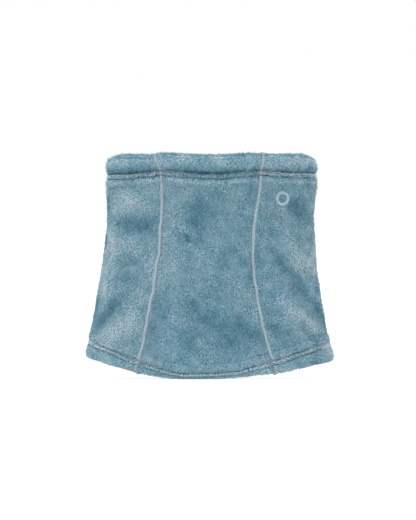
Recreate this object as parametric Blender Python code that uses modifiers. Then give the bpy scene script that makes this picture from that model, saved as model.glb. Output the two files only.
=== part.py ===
"""Neck gaiter: a flared fleece tube that stands on its own hem.

Four panels (front, back and two sides) are joined by four raised seams. Both ends are
turned in and held by a twin-needle stitch, with a looped stitch over the raw edge inside.
A small plain ring is embroidered near the collar, and a blank label hangs inside the back.

Metres, +Z up. The front faces -Y. The origin is on the resting plane, under the middle.
Angles run round the tube from the front middle (0) towards +X.
"""

import math

import bmesh
import bpy
from mathutils import Vector

# Outline of the tube, measured on the outer face of the cloth.
RIM_HEIGHT = 0.2490
RIM_SIDE_DROP = 0.0035
RIM_DROP_START = 0.86
WAIST_HEIGHT = 0.1800
WAIST_HALF_WIDTH = 0.1133
WAIST_HALF_DEPTH = 0.0630
COLLAR_SWELL = 0.0025
COLLAR_SWELL_RISE = 0.0350
SKIRT_FLARE_WIDTH = 0.0275
SKIRT_FLARE_DEPTH = 0.0180
SKIRT_FLARE_POWER = 1.5

# Lower hem: it rises at the sides, and rolls under at the front and back to stand on.
HEM_SIDE_LIFT = 0.0210
REST_SINE = 0.22
ROLL_RADIUS = 0.0120
ROLL_TAIL = 0.0061
PRESSED_FLAT = 0.0003

# Cloth and the turned hems.
CLOTH = 0.0030
LAYER_GAP = 0.0016
LAYER_PITCH = CLOTH + LAYER_GAP
FOLD_RADIUS = LAYER_PITCH / 2.0
FOLD_SKIN_RADIUS = FOLD_RADIUS + CLOTH / 2.0
FOLD_STEPS = 4
SKIRT_TURN = 0.0235
COLLAR_TURN = 0.0310

# Section through each hem: distance from the fold, and swell of the outer layer.
SKIRT_HEM_NEEDLES = (0.0153, 0.0200)
SKIRT_HEM_SECTION = (
    (FOLD_SKIN_RADIUS, 0.0000),
    (0.0078, 0.0018),
    (0.0120, 0.0009),
    (SKIRT_HEM_NEEDLES[0], -0.0007),
    (0.0176, 0.0004),
    (SKIRT_HEM_NEEDLES[1], -0.0007),
    (0.0232, 0.0005),
    (0.0290, 0.0000),
)
COLLAR_HEM_NEEDLES = (0.0268, 0.0220)
COLLAR_HEM_SECTION = (
    (0.0340, 0.0000),
    (0.0296, 0.0004),
    (COLLAR_HEM_NEEDLES[0], -0.0010),
    (0.0244, 0.0003),
    (COLLAR_HEM_NEEDLES[1], -0.0010),
    (0.0190, 0.0004),
    (0.0115, 0.0010),
    (FOLD_SKIN_RADIUS, 0.0000),
)
NEEDLE_GROOVE = {"skirt": 0.0007, "collar": 0.0010}
BODY_BANDS = 8

# Seams, each as half the span between the left and right seam of one face.
SEAM_GAP = 0.0006
SEAM_SHAPES = {
    "left": {"waist": 0.0537, "height": 0.184, "top": 0.0583, "base": 0.0849, "rise": 1.9},
    "right": {"waist": 0.0472, "height": 0.160, "top": 0.0573, "base": 0.0763, "rise": 1.1},
}
SEAM_DROOP = 1.95
SEAM_START_ANGLE = 0.55
CLEARANCE = 0.0003
SEAM_RIB_LIFT = 0.0008
SEAM_RIB_HALF_WIDTH = 0.0016
SEAM_RIB_THICKNESS = 0.0009

# Stitching threads.
NEEDLE_THREAD_RADIUS = 0.00055
NEEDLE_THREAD_LIFT = 0.0011
CROSSING_FLAT = 0.0022
CROSSING_END = 0.0040
CROSSING_RISE = 0.0018
LOOPER_LIFT = 0.0009
LOOPER_THICKNESS = 0.0007
LOOPER_BANDS = {"skirt": (0.0130, 0.0215), "collar": (0.0285, 0.0205)}

# Embroidered ring on the side panel, and the label inside the back.
RING_ACROSS = 0.0800
RING_HEIGHT = 0.1980
RING_INNER_RADIUS = 0.0050
RING_OUTER_RADIUS = 0.0080
RING_THICKNESS = 0.0008
RING_STEPS = 24
LABEL_WIDTH = 0.0280
LABEL_TOP = 0.0293
LABEL_LENGTH = 0.0400
LABEL_THICKNESS = 0.0006
LABEL_DEPTH = 0.0038

FACE_COLUMNS = 10
SIDE_COLUMNS = 14

GROUND_CUTTER_SIZE = 0.60
GROUND_CUTTER_DEPTH = 0.02

BLUE_FLEECE = (0.205, 0.335, 0.400)
PALE_THREAD = (0.420, 0.520, 0.590)
TONAL_THREAD = (0.300, 0.430, 0.500)
LABEL_WHITE = (0.800, 0.820, 0.830)


def clamp(value, low=0.0, high=1.0):
    return max(low, min(high, value))


def smooth(value):
    value = clamp(value)
    return value * value * (3.0 - 2.0 * value)


def half_size(height, waist, flare):
    """Half the tube's width or depth at a height: a waist, a slight collar swell, a flare."""
    if height >= WAIST_HEIGHT:
        return waist + COLLAR_SWELL * smooth((height - WAIST_HEIGHT) / COLLAR_SWELL_RISE)
    return waist + flare * ((WAIST_HEIGHT - height) / WAIST_HEIGHT) ** SKIRT_FLARE_POWER


def half_width(height):
    return half_size(height, WAIST_HALF_WIDTH, SKIRT_FLARE_WIDTH)


def half_depth(height):
    return half_size(height, WAIST_HALF_DEPTH, SKIRT_FLARE_DEPTH)


def around_speed(angle, height):
    """Metres along the tube's outline for each radian."""
    return math.hypot(half_width(height) * math.cos(angle), half_depth(height) * math.sin(angle))


def outline_point(angle, height, inward):
    """A point on the oval outline at a height, moved towards the inside of the tube."""
    width = half_width(height)
    depth = half_depth(height)
    point = Vector((width * math.sin(angle), -depth * math.cos(angle), height))
    inside = Vector((-math.sin(angle) / width, math.cos(angle) / depth, 0.0)).normalized()
    return point + inside * inward


def side_share(angle):
    """0 over the stretch that rests on the ground, 1 at the side folds."""
    return clamp((math.sin(angle) ** 2 - REST_SINE ** 2) / (1.0 - REST_SINE ** 2))


def skirt_path(angle, along):
    """Outer face of the lower hem, from its fold up: inward offset, height and tilt."""
    share = side_share(angle)
    turn = math.pi / 2.0 * (1.0 - share)
    arc = ROLL_RADIUS * turn
    base = HEM_SIDE_LIFT * share - PRESSED_FLAT
    base -= FOLD_SKIN_RADIUS * (math.cos(turn) + math.sin(turn) - 1.0)
    if along <= ROLL_TAIL:
        inward = ROLL_RADIUS * (1.0 - math.cos(turn)) + (ROLL_TAIL - along) * math.sin(turn)
        return inward, base + along * math.cos(turn), turn
    tilt = clamp((ROLL_TAIL + arc - along) / ROLL_RADIUS, 0.0, turn)
    straight = max(0.0, along - ROLL_TAIL - arc)
    inward = ROLL_RADIUS * (1.0 - math.cos(tilt))
    rise = ROLL_TAIL * math.cos(turn) + ROLL_RADIUS * (math.sin(turn) - math.sin(tilt))
    return inward, base + rise + straight, tilt


def rim_height(angle):
    """The top edge dips a little towards the side folds."""
    share = (abs(math.sin(angle)) - RIM_DROP_START) / (1.0 - RIM_DROP_START)
    return RIM_HEIGHT - RIM_SIDE_DROP * smooth(share)


def cloth_point(angle, row):
    """A point of the cloth. A row is its zone, its place along that zone, and its depth."""
    zone, along, depth = row
    if zone == "skirt":
        inward, height, tilt = skirt_path(angle, along)
        lifted = height + depth * math.sin(tilt)
        return outline_point(angle, lifted, inward + depth * math.cos(tilt))
    top = rim_height(angle)
    if zone == "collar":
        return outline_point(angle, top - along, depth)
    low = skirt_path(angle, SKIRT_HEM_SECTION[-1][0])[1]
    high = top - COLLAR_HEM_SECTION[0][0]
    return outline_point(angle, low + (high - low) * along, depth)


def fold_rows(zone, offset, outer_first):
    """The half round of a turned edge, between its outer and inner layer."""
    rows = []
    for step in range(1, FOLD_STEPS):
        bend = math.pi * step / FOLD_STEPS
        radius = FOLD_RADIUS + offset
        along = FOLD_SKIN_RADIUS - radius * math.sin(bend)
        rows.append((zone, along, FOLD_SKIN_RADIUS - radius * math.cos(bend)))
    return rows if outer_first else rows[::-1]


def turned_rows(zone, offset, raw_edge):
    """The inner layer of a hem, from the fold to its raw edge."""
    depth = CLOTH / 2.0 + LAYER_PITCH + offset
    rows = []
    for share in (0.0, 0.33, 0.67, 1.0):
        along = FOLD_SKIN_RADIUS + (raw_edge - FOLD_SKIN_RADIUS) * share
        rows.append((zone, along, depth))
    return rows


def outer_rows(offset):
    """The outer layer of the cloth, from the lower fold to the upper one."""
    middle = CLOTH / 2.0 - offset
    rows = [("skirt", along, middle - swell) for along, swell in SKIRT_HEM_SECTION]
    for band in range(1, BODY_BANDS):
        rows.append(("body", band / BODY_BANDS, middle))
    rows += [("collar", along, middle - swell) for along, swell in COLLAR_HEM_SECTION]
    return rows


def cloth_rows(offset=0.0):
    """The whole length of the cloth, raw edge to raw edge, moved out by an offset."""
    rows = turned_rows("skirt", offset, SKIRT_TURN)[::-1]
    rows += fold_rows("skirt", offset, outer_first=False)
    rows += outer_rows(offset)
    rows += fold_rows("collar", offset, outer_first=True)
    rows += turned_rows("collar", offset, COLLAR_TURN)
    return rows


def seam_angle(side, face, row):
    """Angle of a seam at a row of the cloth, found in a few steps because it shifts the row."""
    shape = SEAM_SHAPES[side]
    angle = SEAM_START_ANGLE
    for _ in range(3):
        height = cloth_point(angle, row).z
        if height >= shape["height"]:
            climb = (height - shape["height"]) / (RIM_HEIGHT - shape["height"])
            span = shape["waist"] + (shape["top"] - shape["waist"]) * climb ** shape["rise"]
        else:
            fall = (shape["height"] - height) / shape["height"]
            span = shape["waist"] + (shape["base"] - shape["waist"]) * fall ** SEAM_DROOP
        angle = math.asin(span / half_width(height))
    if face == "back":
        angle = math.pi - angle
    return angle if side == "right" else -angle


def panel_edges(name, row):
    """First and last seam angle of a panel at a row, in the direction of growing angle."""
    if name == "front":
        return seam_angle("left", "front", row), seam_angle("right", "front", row)
    if name == "right_side":
        return seam_angle("right", "front", row), seam_angle("right", "back", row)
    if name == "back":
        return seam_angle("right", "back", row), seam_angle("left", "back", row) + math.tau
    return seam_angle("left", "back", row), seam_angle("left", "front", row)


PANELS = {"front": FACE_COLUMNS, "right_side": SIDE_COLUMNS, "back": FACE_COLUMNS,
          "left_side": SIDE_COLUMNS}


def panel_angle(name, row, share):
    """Angle at a share of the way across a panel, which stops short of its seams."""
    first, last = panel_edges(name, row)
    height = cloth_point(first, row).z
    margin = SEAM_GAP / 2.0 / around_speed(first, height)
    return first + margin + (last - first - 2.0 * margin) * share


def make_material(name, colour, roughness):
    material = bpy.data.materials.new(name)
    material.use_nodes = True
    shader = material.node_tree.nodes["Principled BSDF"]
    shader.inputs["Base Color"].default_value = (*colour, 1.0)
    shader.inputs["Roughness"].default_value = roughness
    shader.inputs["Metallic"].default_value = 0.0
    return material


def add_object(name, mesh, collection, colour, roughness):
    item = bpy.data.objects.new(name, mesh)
    mesh.materials.append(make_material(name + "_material", colour, roughness))
    collection.objects.link(item)
    return item


def surface_mesh(name, columns, row_count, place, closed=False):
    """A grid laid over the cloth. place takes a share across (0 to 1) and a row number."""
    grid = bmesh.new()
    bmesh.ops.create_grid(grid, x_segments=columns, y_segments=row_count - 1, size=1.0)
    for vertex in grid.verts:
        share = (vertex.co.x + 1.0) / 2.0
        row_number = round((vertex.co.y + 1.0) / 2.0 * (row_count - 1))
        vertex.co = place(share, row_number)
    if closed:
        bmesh.ops.remove_doubles(grid, verts=grid.verts, dist=1e-7)
    bmesh.ops.recalc_face_normals(grid, faces=grid.faces)
    mesh = bpy.data.meshes.new(name)
    grid.to_mesh(mesh)
    grid.free()
    mesh.shade_smooth()
    return mesh


def thicken(item, thickness):
    solidify = item.modifiers.new("thickness", "SOLIDIFY")
    solidify.thickness = thickness
    solidify.offset = 0.0
    return item


def add_panel(name, columns, collection):
    rows = cloth_rows()

    def place(share, row_number):
        row = rows[row_number]
        return cloth_point(panel_angle(name, row, share), row)

    mesh = surface_mesh(name, columns, len(rows), place)
    panel = add_object(name + "_panel", mesh, collection, BLUE_FLEECE, 0.95)
    return thicken(panel, CLOTH)


def rib_place(side, face, rows):
    """Lays a narrow strip along a seam, centred on the joint between two panels."""
    def place(share, row_number):
        row = rows[row_number]
        middle = seam_angle(side, face, row)
        reach = SEAM_RIB_HALF_WIDTH / around_speed(middle, cloth_point(middle, row).z)
        return cloth_point(middle + reach * (2.0 * share - 1.0), row)
    return place


def add_seam_ribs(collection):
    """The covering threads of each seam: over the outside and both hems, and inside."""
    lift = CLOTH / 2.0 + SEAM_RIB_LIFT + SEAM_RIB_THICKNESS / 2.0
    over = cloth_rows(lift)
    under = outer_rows(-lift)[len(SKIRT_HEM_SECTION) - 1:1 - len(COLLAR_HEM_SECTION)]
    for face in ("front", "back"):
        for side in ("left", "right"):
            for name, rows in (("seam_cover", over), ("inner_seam_thread", under)):
                full_name = f"{face}_{side}_{name}"
                mesh = surface_mesh(full_name, 2, len(rows), rib_place(side, face, rows))
                rib = add_object(full_name, mesh, collection, PALE_THREAD, 0.8)
                thicken(rib, SEAM_RIB_THICKNESS)


def ring_stations(row):
    """Angles of a stitch line all the way round, each with its share of the seam crossing."""
    stations = []
    for name, columns in PANELS.items():
        first, last = panel_edges(name, row)
        reach = 1.0 / around_speed(first, cloth_point(first, row).z)
        stations.append((first, 1.0))
        stations.append((first + CROSSING_FLAT * reach, 1.0))
        stations.append((first + CROSSING_END * reach, 0.0))
        for column in range(1, columns):
            stations.append((panel_angle(name, row, column / columns), 0.0))
        stations.append((last - CROSSING_END * reach, 0.0))
        stations.append((last - CROSSING_FLAT * reach, 1.0))
    return stations


def add_needle_thread(name, zone, along, collection):
    """One line of straight stitches: a thread that lies in its groove and over the seams."""
    skin = NEEDLE_GROOVE[zone] - NEEDLE_THREAD_LIFT
    curve = bpy.data.curves.new(name, "CURVE")
    curve.dimensions = "3D"
    curve.bevel_depth = NEEDLE_THREAD_RADIUS
    curve.bevel_resolution = 1
    stations = ring_stations((zone, along, skin))
    spline = curve.splines.new("POLY")
    spline.points.add(len(stations) - 1)
    for point, (angle, crossing) in zip(spline.points, stations):
        row = (zone, along, skin - CROSSING_RISE * crossing)
        point.co = (*cloth_point(angle, row), 1.0)
    spline.use_cyclic_u = True
    return add_object(name, curve, collection, TONAL_THREAD, 0.7)


def add_looper(name, zone, collection):
    """The looped threads that cover the raw edge on the inside of a hem."""
    depth = CLOTH + LAYER_PITCH + LOOPER_LIFT + LOOPER_THICKNESS / 2.0
    low, high = LOOPER_BANDS[zone]
    stations = ring_stations((zone, (low + high) / 2.0, depth))

    def place(share, row_number):
        angle, crossing = stations[round(share * len(stations)) % len(stations)]
        along = low if row_number == 0 else high
        return cloth_point(angle, (zone, along, depth + CROSSING_RISE * crossing))

    mesh = surface_mesh(name, len(stations), 2, place, closed=True)
    looper = add_object(name, mesh, collection, TONAL_THREAD, 0.7)
    return thicken(looper, LOOPER_THICKNESS)


def add_embroidered_ring(collection):
    middle = math.asin(RING_ACROSS / half_width(RING_HEIGHT))
    radii = (RING_INNER_RADIUS, RING_OUTER_RADIUS)
    depth = -CLEARANCE - RING_THICKNESS / 2.0

    def place(share, row_number):
        turn = math.tau * share
        height = RING_HEIGHT + radii[row_number] * math.sin(turn)
        across = radii[row_number] * math.cos(turn) / around_speed(middle, RING_HEIGHT)
        return outline_point(middle + across, height, depth)

    mesh = surface_mesh("embroidered_ring", RING_STEPS, 2, place, closed=True)
    ring = add_object("embroidered_ring", mesh, collection, PALE_THREAD, 0.6)
    return thicken(ring, RING_THICKNESS)


def add_care_label(collection):
    def place(share, row_number):
        along = LABEL_TOP + LABEL_LENGTH * row_number / 4.0
        reach = LABEL_WIDTH / 2.0 / half_width(RIM_HEIGHT)
        angle = math.pi + reach * (2.0 * share - 1.0)
        return outline_point(angle, RIM_HEIGHT - along, LABEL_DEPTH)

    mesh = surface_mesh("care_label", 4, 5, place)
    label = add_object("care_label", mesh, collection, LABEL_WHITE, 0.5)
    return thicken(label, LABEL_THICKNESS)


def press_on_ground(panels, cutters):
    """Flattens the rolled hems where they rest, with a block whose top is the ground."""
    block = bmesh.new()
    bmesh.ops.create_cube(block, size=1.0)
    bmesh.ops.scale(block, vec=(GROUND_CUTTER_SIZE, GROUND_CUTTER_SIZE, GROUND_CUTTER_DEPTH),
                    verts=block.verts)
    bmesh.ops.translate(block, vec=(0.0, 0.0, -GROUND_CUTTER_DEPTH / 2.0), verts=block.verts)
    mesh = bpy.data.meshes.new("ground_cutter")
    block.to_mesh(mesh)
    block.free()
    cutter = bpy.data.objects.new("ground_cutter", mesh)
    cutter.hide_render = True
    cutter.display_type = "WIRE"
    cutters.objects.link(cutter)
    for panel in panels:
        cut = panel.modifiers.new("rest", "BOOLEAN")
        cut.operation = "DIFFERENCE"
        cut.solver = "EXACT"
        cut.object = cutter


def new_collection(name):
    collection = bpy.data.collections.new(name)
    bpy.context.scene.collection.children.link(collection)
    return collection


def main():
    for item in list(bpy.data.objects):
        bpy.data.objects.remove(item)
    gaiter = new_collection("neck_gaiter")
    cutters = new_collection("cutters")
    panels = {name: add_panel(name, columns, gaiter) for name, columns in PANELS.items()}
    press_on_ground((panels["front"], panels["back"]), cutters)
    add_seam_ribs(gaiter)
    for zone, needles in (("skirt", SKIRT_HEM_NEEDLES), ("collar", COLLAR_HEM_NEEDLES)):
        for place, along in zip(("lower", "upper"), needles):
            add_needle_thread(f"{zone}_hem_{place}_needle_thread", zone, along, gaiter)
        add_looper(f"{zone}_hem_looper_thread", zone, gaiter)
    add_embroidered_ring(gaiter)
    add_care_label(gaiter)


main()
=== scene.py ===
"""Looks of the neck gaiter: plush fleece panels, raised seams, stitched hems and a ring.

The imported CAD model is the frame. Every CAD node is replaced by pieces that follow the same
cloth: a dented ground sheet, a pile of small leaning tufts, and threads that are really there.

Metres, +Z up. The front faces -Y. Angles run round the tube from the front middle (0) to +X.
A station is a place along the cloth: its zone, its distance along that zone and its bend,
which is 0 in the outer layer, pi in the turned-in layer and between them in a fold.
A row is a station at one depth: its zone, its distance along and its depth.
"""

import math
from collections import namedtuple

import bpy
import numpy as np
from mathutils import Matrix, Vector


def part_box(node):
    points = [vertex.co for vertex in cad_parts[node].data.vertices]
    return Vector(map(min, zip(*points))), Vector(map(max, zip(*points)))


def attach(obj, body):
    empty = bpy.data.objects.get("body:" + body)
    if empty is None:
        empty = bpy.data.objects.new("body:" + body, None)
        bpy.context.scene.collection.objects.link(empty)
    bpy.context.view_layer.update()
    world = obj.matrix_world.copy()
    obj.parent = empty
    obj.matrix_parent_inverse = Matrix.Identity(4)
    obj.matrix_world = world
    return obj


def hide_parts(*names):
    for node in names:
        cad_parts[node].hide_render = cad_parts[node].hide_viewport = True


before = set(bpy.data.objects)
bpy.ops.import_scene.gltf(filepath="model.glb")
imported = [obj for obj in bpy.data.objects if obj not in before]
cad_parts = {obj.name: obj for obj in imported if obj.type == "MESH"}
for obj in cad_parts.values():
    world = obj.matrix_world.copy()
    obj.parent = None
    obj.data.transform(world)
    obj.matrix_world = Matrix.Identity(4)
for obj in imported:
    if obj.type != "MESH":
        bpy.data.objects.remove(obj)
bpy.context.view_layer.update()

BODY = "root"
MM = 0.001

# Zones of the cloth along its length, and the bend in its outer and its turned-in layer.
SKIRT, BODY_ZONE, COLLAR = 0.0, 1.0, 2.0
OUTER, TURNED = 0.0, math.pi

# Outline of the tube on the outer face of the cloth, as in the CAD.
RIM_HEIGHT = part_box("front_panel")[1].z
RIM_SIDE_DROP = 0.0035
RIM_DROP_START = 0.86
WAIST_HEIGHT = 0.1800
WAIST_HALF_WIDTH = 0.1133
WAIST_HALF_DEPTH = 0.0630
COLLAR_SWELL = 0.0025
COLLAR_SWELL_RISE = 0.0350
SKIRT_FLARE_WIDTH = 0.0275
SKIRT_FLARE_DEPTH = 0.0180
SKIRT_FLARE_POWER = 1.5

# The soft tube leans a little: heights, and how far its middle is to the right there.
LEAN = ((0.0, 0.065, 0.130, 0.180, 0.212, 0.249), (0.0004, -0.0010, -0.0004, 0.0010, 0.0026, 0.0020))

# Lower hem: it rises at the sides and rolls under at the front and back. All as in the CAD but
# the eases, which end the roll nearer the middle, as the photo shows.
HEM_SIDE_LIFT = 0.0210
REST_SINE = 0.22
ROLL_RADIUS = 0.0120
ROLL_TAIL = 0.0061
ROLL_EASE_LEFT = 1.4
ROLL_EASE_RIGHT = 2.2
PRESSED_FLAT = 0.0003

# Cloth and the turned hems, as in the CAD.
CLOTH = 0.0030
LAYER_PITCH = 0.0046
FOLD_RADIUS = LAYER_PITCH / 2.0
SKIN_RADIUS = FOLD_RADIUS + CLOTH / 2.0
SKIRT_TURN = 0.0235
COLLAR_TURN = 0.0310
SKIRT_ZONE = 0.0290
COLLAR_ZONE = 0.0340
HEMS = {SKIRT: "skirt", COLLAR: "collar"}
NEEDLES = {SKIRT: (0.0153, 0.0200), COLLAR: (0.0268, 0.0220)}
LOOPER_BANDS = {SKIRT: (0.0130, 0.0215), COLLAR: (0.0205, 0.0285)}

# Seams, each as its distance from the middle of the front or the back. All as in the CAD but the
# swing, by which the left front seam leans out in the collar.
SEAM_GAP = 0.0006
SEAMS = (("left", "front"), ("right", "front"), ("left", "back"), ("right", "back"))
PANEL_SEAMS = {
    "front": (SEAMS[0], SEAMS[1]),
    "right_side": (SEAMS[1], SEAMS[3]),
    "back": (SEAMS[3], SEAMS[2]),
    "left_side": (SEAMS[2], SEAMS[0]),
}
SEAM_SHAPES = {
    "left": {"waist": 0.0537, "height": 0.184, "top": 0.0583, "base": 0.0849, "rise": 1.9},
    "right": {"waist": 0.0472, "height": 0.160, "top": 0.0573, "base": 0.0763, "rise": 1.1},
}
SEAM_DROOP = 1.95
SEAM_SWING = 0.0034
SEAM_SWING_START = 0.224
SEAM_SWING_REACH = 0.024
SEAM_START_ANGLE = 0.55
SEAM_TRIES = 3

# The ground of the cloth lies a little inside the CAD's outer face, and the pile fills that.
PILE_ROOM = 0.0013
PILE_FACE = CLOTH / 2.0 - PILE_ROOM
PLAIN_FACE = -CLOTH / 2.0

# Mesh steps.
HEM_STEP = 0.0010
BODY_STEP = 0.0021
FOLD_STEPS = 8
COLUMNS = {"front": 76, "right_side": 96, "back": 76, "left_side": 96}
WALK_STEPS = 2880


def smooth(value):
    value = np.clip(value, 0.0, 1.0)
    return value * value * (3.0 - 2.0 * value)


def bell(distance, width):
    return np.exp(-(distance / width) ** 2)


def unit(vectors):
    return vectors / np.maximum(np.linalg.norm(vectors, axis=-1, keepdims=True), 1e-12)


def waves(points, wavelength, seed, count=20):
    """Smooth noise of spread 1, from seeded plane waves in random directions."""
    rng = np.random.default_rng(seed)
    direction = unit(rng.normal(size=(count, 3)))
    pace = math.tau / (wavelength * rng.uniform(0.7, 1.45, count))
    phase = rng.uniform(0.0, math.tau, count)
    total = np.zeros(points.shape[:-1])
    for one, speed, start in zip(direction, pace, phase):
        total += np.cos(points @ (one * speed) + start)
    return total * math.sqrt(2.0 / count)


def mixed_waves(points, mix):
    """Sum of smooth noises. A mix has the strength, wavelength, seed and height stretch of each."""
    return sum(strength * waves(points * (1.0, 1.0, stretch), wavelength, seed)
               for strength, wavelength, seed, stretch in mix)


def runs_along(path):
    """Distance along a path at each of its points."""
    steps = np.linalg.norm(np.diff(path, axis=0), axis=1)
    return np.concatenate(((0.0,), np.cumsum(steps)))


def blend_rows(values, where):
    """Values at fractional row numbers."""
    low = np.clip(np.floor(where).astype(int), 0, len(values) - 2)
    share = (where - low)[:, None]
    return values[low] * (1.0 - share) + values[low + 1] * share


# ---- the cloth's surface

def half_sizes(height):
    """Half the width and half the depth of the tube at a height."""
    swell = COLLAR_SWELL * smooth((height - WAIST_HEIGHT) / COLLAR_SWELL_RISE)
    flare = np.maximum((WAIST_HEIGHT - height) / WAIST_HEIGHT, 0.0) ** SKIRT_FLARE_POWER
    return (WAIST_HALF_WIDTH + swell + SKIRT_FLARE_WIDTH * flare,
            WAIST_HALF_DEPTH + swell + SKIRT_FLARE_DEPTH * flare)


def around_speed(angle, height):
    """Metres along the outline for each radian."""
    width, depth = half_sizes(height)
    return np.hypot(width * np.cos(angle), depth * np.sin(angle))


def outline(angle, height, inset):
    """Points on the oval outline at a height, moved towards the inside of the tube."""
    width, depth = half_sizes(height)
    x_in, y_in = -np.sin(angle) / width, np.cos(angle) / depth
    size = np.hypot(x_in, y_in)
    lean = np.interp(height, *LEAN)
    x = lean + width * np.sin(angle) + inset * x_in / size
    y = -depth * np.cos(angle) + inset * y_in / size
    return np.stack((x, y, height + 0.0 * x), axis=-1)


def skirt_path(angle, along):
    """Outer face of the lower hem, from its fold up: inset, height and tilt."""
    share = np.clip((np.sin(angle) ** 2 - REST_SINE ** 2) / (1.0 - REST_SINE ** 2), 0.0, 1.0)
    ease = np.where(np.sin(angle) > 0.0, ROLL_EASE_RIGHT, ROLL_EASE_LEFT)
    turn = math.pi / 2.0 * (1.0 - share) ** ease
    arc = ROLL_RADIUS * turn
    base = HEM_SIDE_LIFT * share - PRESSED_FLAT
    base = base - SKIN_RADIUS * (np.cos(turn) + np.sin(turn) - 1.0)
    tilt = np.minimum(np.maximum((ROLL_TAIL + arc - along) / ROLL_RADIUS, 0.0), turn)
    straight = np.maximum(along - ROLL_TAIL - arc, 0.0)
    tail = np.maximum(ROLL_TAIL - along, 0.0)
    inset = ROLL_RADIUS * (1.0 - np.cos(tilt)) + tail * np.sin(turn)
    rise = (ROLL_TAIL - tail) * np.cos(turn) + ROLL_RADIUS * (np.sin(turn) - np.sin(tilt))
    return inset, base + rise + straight, tilt


# The rim and its stitches are high at the seams, and low between them and at the sides.
SEAM_ANGLE = 0.52
RIM_DIP_FRONT = 0.0022
RIM_DIP_BACK = 0.0014
RIM_DIP_WHOLE_BACK = 0.0018
RIM_DIP_LEFT = 0.0046
RIM_DIP_RIGHT = 0.0016
LEFT_DIP = {"start": -0.535, "edge": 0.05, "fade": 0.35}
RIGHT_DIP = {"start": 0.35, "edge": 0.25}
BACK_DIP_EDGE = 0.25
STITCH_LOW_MIDDLE = 0.0020
STITCH_HIGH_SEAM = 0.0018
STITCH_DROP_LEFT = 0.0047
STITCH_DROP_RIGHT = 0.0029
CORNER_RADIUS = 0.0070
CORNER_REACH = 0.87
WAVE_BLEND = 0.0150


# The lower hem of the soft tube is not quite level: places along the front and the back, and how
# far the hem lifts there. The lift fades out up the cloth.
HEM_LIFT = {
    "front": ((-0.141, -0.105, -0.080, -0.024, 0.005, 0.045, 0.080, 0.118, 0.141),
              (0.0026, 0.0018, 0.0001, 0.0, 0.0006, 0.0034, 0.0006, 0.0008, -0.0018)),
    "back": ((-0.141, -0.080, -0.030, 0.030, 0.090, 0.141),
             (0.0026, 0.0006, 0.0018, 0.0, 0.0014, -0.0018)),
}
LIFT_REACH = 0.141
LIFT_FADE = 0.110


def hem_lift(angle):
    across = LIFT_REACH * np.sin(angle)
    front, back = (np.interp(across, *HEM_LIFT[face]) for face in ("front", "back"))
    return np.where(np.cos(angle) > 0.0, front, back)


def seam_share(angle):
    """0 at the front and back middle, 1 at the seams and beyond."""
    across = np.arctan2(np.abs(np.sin(angle)), np.abs(np.cos(angle)))
    return np.clip(across / SEAM_ANGLE, 0.0, 1.0)


def middle_hump(angle):
    """1 at the front and back middle, 0 at the seams and beyond."""
    return np.cos(seam_share(angle) * math.pi / 2.0) ** 2


def side_drop(angle):
    """How far the collar's stitches fall from the seams round to the side folds."""
    seam_sine = math.sin(SEAM_ANGLE)
    outside = np.clip((np.abs(np.sin(angle)) - seam_sine) / (1.0 - seam_sine), 0.0, 1.0)
    drop = np.where(np.sin(angle) > 0.0, STITCH_DROP_RIGHT, STITCH_DROP_LEFT)
    return drop * np.sin(math.pi / 2.0 * outside)


def wrapped(angle):
    return (angle + math.pi) % math.tau - math.pi


def rim_dip(angle):
    """How far the rim sags below its CAD height."""
    front = np.cos(angle) > 0.0
    middle = middle_hump(angle) * np.where(front, RIM_DIP_FRONT, RIM_DIP_BACK)
    turned = wrapped(angle)
    left = RIM_DIP_LEFT * smooth((LEFT_DIP["start"] - turned) / LEFT_DIP["edge"])
    left = left * smooth((turned + math.pi / 2.0) / LEFT_DIP["fade"])
    right = RIM_DIP_RIGHT * smooth((turned - RIGHT_DIP["start"]) / RIGHT_DIP["edge"]) * front
    back = RIM_DIP_WHOLE_BACK * smooth(-np.cos(angle) / BACK_DIP_EDGE)
    reach = np.abs(np.sin(angle)) * WAIST_HALF_WIDTH - (WAIST_HALF_WIDTH - CORNER_RADIUS)
    corner = np.clip(reach / CORNER_RADIUS, 0.0, 1.0) * CORNER_REACH
    return middle + left + right + back + CORNER_RADIUS * (1.0 - np.sqrt(1.0 - corner ** 2))


def rim_height(angle):
    share = (np.abs(np.sin(angle)) - RIM_DROP_START) / (1.0 - RIM_DROP_START)
    return RIM_HEIGHT - RIM_SIDE_DROP * smooth(share)


def plain_collar(angle, along):
    return rim_height(angle) - along


def wavy_collar(angle, along):
    """The collar's fold follows the sagging rim, and its stitches have their own wave."""
    stitch_rise = STITCH_HIGH_SEAM * smooth(seam_share(angle)) - side_drop(angle)
    stitch_rise = stitch_rise - STITCH_LOW_MIDDLE * middle_hump(angle) + RIM_HEIGHT - rim_height(angle)
    below = smooth((along - SKIN_RADIUS) / WAVE_BLEND)
    return plain_collar(angle, along) + stitch_rise * below - rim_dip(angle) * (1.0 - below)


def row_heights(angle, rows, collar=plain_collar):
    """Heights of rows. With the plain collar they are where the CAD puts the seams."""
    zone, along, depth = np.moveaxis(rows, -1, 0)
    _, height, tilt = skirt_path(angle, along)
    low = skirt_path(angle, SKIRT_ZONE)[1]
    body = low + (collar(angle, COLLAR_ZONE) - low) * along
    skirt = height + depth * np.sin(tilt)
    return np.select([zone == SKIRT, zone == BODY_ZONE], [skirt, body], collar(angle, along))


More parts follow.
